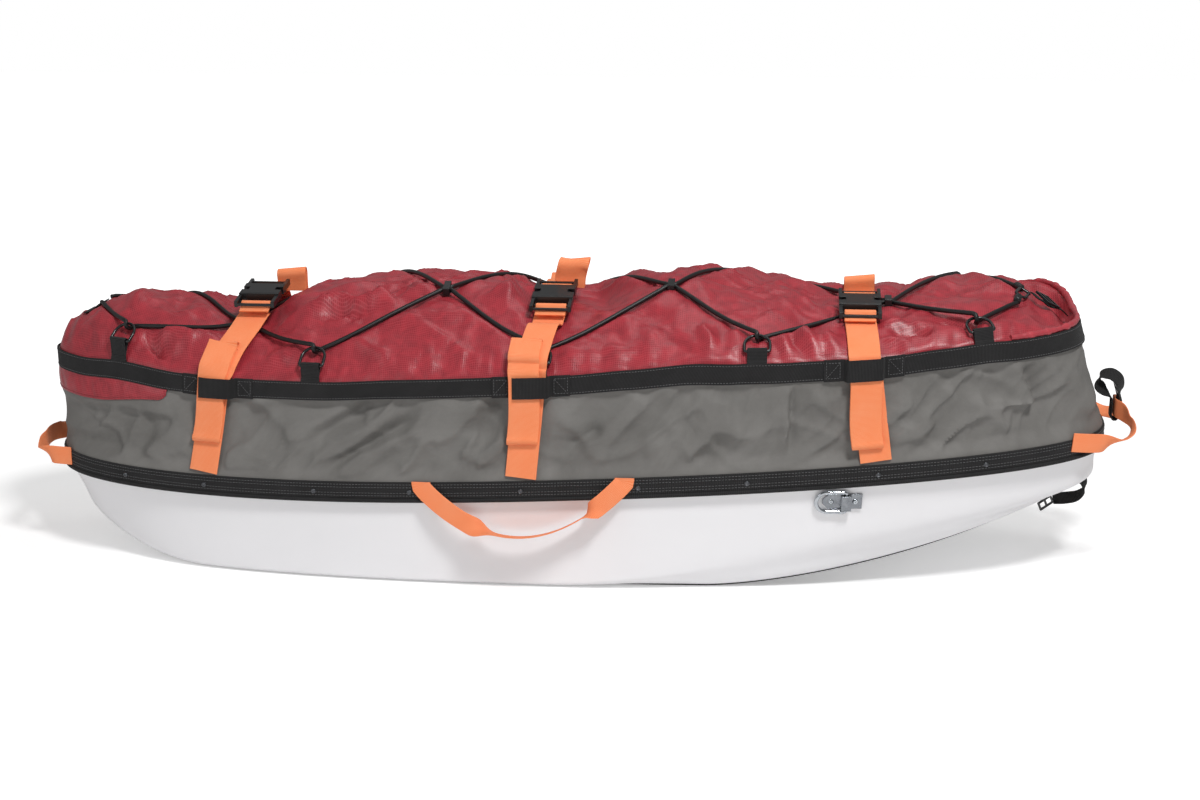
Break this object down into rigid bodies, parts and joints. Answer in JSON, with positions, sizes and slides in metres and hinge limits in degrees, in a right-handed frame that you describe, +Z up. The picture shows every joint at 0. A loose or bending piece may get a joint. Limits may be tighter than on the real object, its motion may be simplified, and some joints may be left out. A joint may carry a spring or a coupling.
{
  "type": "pulk sled",
  "caption": "Low hauling sled: a moulded white tub with a cloth skirt, a laced and buckled cloth cover, carry handles and hauling rings.",
  "frame": {"origin": "centre of the sled's length and width, on the ground under the runners", "axes": "+X to the nose, +Y to the sled's left, +Z up"},
  "size_m": [1.4908, 0.4672, 0.4119],
  "materials": {
    "white_shell": "vacuum-formed polyethylene",
    "black_plastic": "moulded acetal",
    "black_webbing": "woven polyester",
    "grey_cloth": "coated plain-weave polyester",
    "red_cloth": "coated ripstop nylon",
    "orange_webbing": "woven polyester",
    "black_cord": "braided sleeve over rubber",
    "zinc_steel": "zinc plated"
  },
  "bodies": {
    "sled": {"buckle_socket_front": "black_plastic", "buckle_socket_mid": "black_plastic", "buckle_socket_rear": "black_plastic", "bungee_left": "black_cord", "bungee_right": "black_cord", "cord_hook": "black_plastic", "cord_link_1": "black_plastic", "cord_link_2": "black_plastic", "cord_link_3": "black_plastic", "cord_link_4": "black_plastic", "cord_ring_left_1": "black_plastic", "cord_ring_left_2": "black_plastic", "cord_ring_left_3": "black_plastic", "cord_ring_left_4": "black_plastic", "cord_ring_left_5": "black_plastic", "cord_ring_right_1": "black_plastic", "cord_ring_right_2": "black_plastic", "cord_ring_right_3": "black_plastic", "cord_ring_right_4": "black_plastic", "cord_ring_right_5": "black_plastic", "cord_sleeve_left": "black_plastic", "cord_sleeve_right": "black_plastic", "cover": "red_cloth", "front_handle": "orange_webbing", "front_handle_hanger": "black_webbing", "front_handle_lock": "black_plastic", "front_lock": "black_plastic", "front_webbing": "black_webbing", "hem_band": "black_webbing", "hull": "white_shell", "nose_lock": "black_plastic", "nose_strap": "black_webbing", "rear_cord_tab": "black_webbing", "rim_band": "black_webbing", "runner_left": "black_plastic", "runner_right": "black_plastic", "skirt": "grey_cloth", "stern_panel": "red_cloth", "strap_left_front": "orange_webbing", "strap_left_mid": "orange_webbing", "strap_left_rear": "orange_webbing", "strap_right_front": "orange_webbing", "strap_right_mid": "orange_webbing", "strap_right_rear": "orange_webbing", "strap_tail_front": "orange_webbing", "strap_tail_mid": "orange_webbing", "strap_tail_rear": "orange_webbing", "tow_plate_left": "zinc_steel", "tow_plate_right": "zinc_steel"},
    "right_handle": {"side_handle_right": "orange_webbing"},
    "left_handle": {"side_handle_left": "orange_webbing"},
    "stern_handle": {"rear_handle": "orange_webbing"},
    "right_ring": {"tow_ring_right": "zinc_steel"},
    "left_ring": {"tow_ring_left": "zinc_steel"},
    "plug_rear": {"buckle_plug_rear": "black_plastic", "plug_webbing_rear": "orange_webbing"},
    "plug_mid": {"buckle_plug_mid": "black_plastic", "plug_webbing_mid": "orange_webbing"},
    "plug_front": {"buckle_plug_front": "black_plastic", "plug_webbing_front": "orange_webbing"}
  },
  "joints": [
    {"name": "right_handle_lift", "type": "hinge", "parent": "sled", "child": "right_handle", "pos_m": [-0.04191, -0.21379, 0.15691], "axis": [-0.9986, 0.0064, -0.0525], "range_deg": [0, 100]},
    {"name": "left_handle_lift", "type": "hinge", "parent": "sled", "child": "left_handle", "pos_m": [-0.04191, 0.21379, 0.15691], "axis": [0.9986, 0.0064, 0.0525], "range_deg": [0, 100]},
    {"name": "stern_handle_lift", "type": "hinge", "parent": "sled", "child": "stern_handle", "pos_m": [-0.67828, 0, 0.1484], "axis": [0, 1, 0], "range_deg": [0, 45]},
    {"name": "right_ring_swing", "type": "hinge", "parent": "sled", "child": "right_ring", "pos_m": [0.37054, -0.1899, 0.12975], "axis": [0.0345, -0.2587, 0.9653], "range_deg": [0, 160]},
    {"name": "left_ring_swing", "type": "hinge", "parent": "sled", "child": "left_ring", "pos_m": [0.37054, 0.1899, 0.12975], "axis": [-0.0345, -0.2587, -0.9653], "range_deg": [0, 160]},
    {"name": "plug_rear_pull", "type": "slide", "parent": "sled", "child": "plug_rear", "axis": [0, -0.9857, -0.1685], "range_m": [0, 0.025]},
    {"name": "plug_mid_pull", "type": "slide", "parent": "sled", "child": "plug_mid", "axis": [0, -0.9732, -0.23], "range_m": [0, 0.025]},
    {"name": "plug_front_pull", "type": "slide", "parent": "sled", "child": "plug_front", "axis": [0, -0.9848, -0.1736], "range_m": [0, 0.025]}
  ]
}
